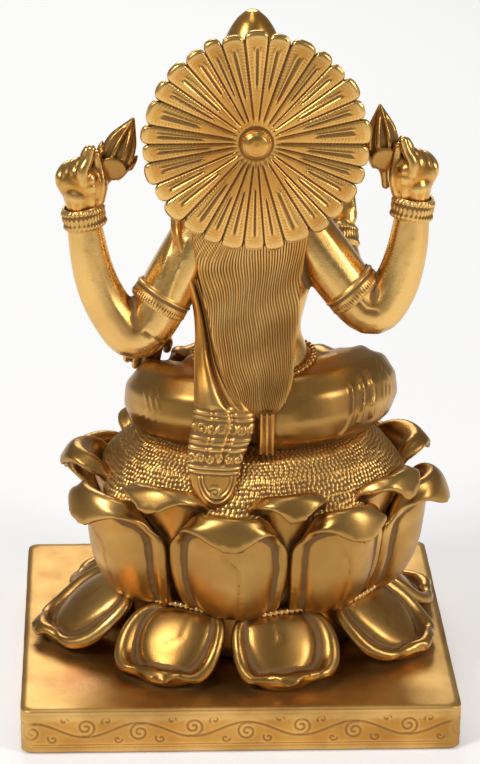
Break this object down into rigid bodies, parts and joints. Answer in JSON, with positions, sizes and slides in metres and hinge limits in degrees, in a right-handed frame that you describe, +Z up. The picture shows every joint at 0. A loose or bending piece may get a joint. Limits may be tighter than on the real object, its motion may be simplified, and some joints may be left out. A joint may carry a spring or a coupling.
{
  "type": "seated deity idol",
  "caption": "Cast brass idol of a seated many-armed figure with raised lotus buds and a petalled halo plate behind its head, on a lotus seat over a hollow rectangular plinth.",
  "frame": {"origin": "bottom centre of the plinth, on the surface that the idol stands on", "axes": "+Z up, the figure faces -Y, its halo and back are on +Y, and its right hand side is -X"},
  "size_m": [0.2, 0.17, 0.3235],
  "materials": {
    "polished_brass": "hand-polished cast brass, brown tarnish in the recesses",
    "antique_brass": "chased cast brass left darker, tarnish in the engraving",
    "steel": "zinc-plated steel fasteners, hidden inside"
  },
  "bodies": {
    "root": {"plinth": "polished_brass", "lower_petal_1": "polished_brass", "lower_petal_2": "polished_brass", "lower_petal_3": "polished_brass", "lower_petal_4": "polished_brass", "lower_petal_5": "polished_brass", "lower_petal_6": "polished_brass", "lower_petal_7": "polished_brass", "outer_petal_1": "polished_brass", "outer_petal_2": "polished_brass", "outer_petal_3": "polished_brass", "outer_petal_4": "polished_brass", "outer_petal_5": "polished_brass", "outer_petal_6": "polished_brass", "outer_petal_7": "polished_brass", "inner_petal_1": "polished_brass", "inner_petal_2": "polished_brass", "inner_petal_3": "polished_brass", "inner_petal_4": "polished_brass", "inner_petal_5": "polished_brass", "inner_petal_6": "polished_brass", "inner_petal_7": "polished_brass", "crossed_legs": "polished_brass", "torso": "polished_brass", "head": "polished_brass", "crown": "polished_brass", "rear_right_arm": "polished_brass", "rear_left_arm": "polished_brass", "front_right_arm": "polished_brass", "front_left_arm": "polished_brass", "rear_right_hand": "polished_brass", "rear_left_hand": "polished_brass", "front_right_hand": "polished_brass", "front_left_hand": "polished_brass", "right_bud": "polished_brass", "left_bud": "polished_brass", "lotus_seat": "antique_brass", "hair_fall": "antique_brass", "sash": "antique_brass", "belt_tail": "antique_brass", "rear_right_bangle": "antique_brass", "rear_left_bangle": "antique_brass", "front_right_bangle": "antique_brass", "front_left_bangle": "antique_brass", "rear_right_armlet": "antique_brass", "rear_left_armlet": "antique_brass", "tie_rod": "steel", "washer": "steel", "nut": "steel"},
    "halo": {"halo_disc": "polished_brass"},
    "halo_screw": {"halo_screw": "polished_brass"}
  },
  "joints": [
    {"name": "halo_turn", "type": "hinge", "parent": "root", "child": "halo", "pos_m": [-0.0055, 0.0276, 0.271], "axis": [0, 1, 0], "continuous": true},
    {"name": "halo_screw_turn", "type": "hinge", "parent": "root", "child": "halo_screw", "pos_m": [-0.0055, 0.0276, 0.271], "axis": [0, 1, 0], "continuous": true}
  ]
}
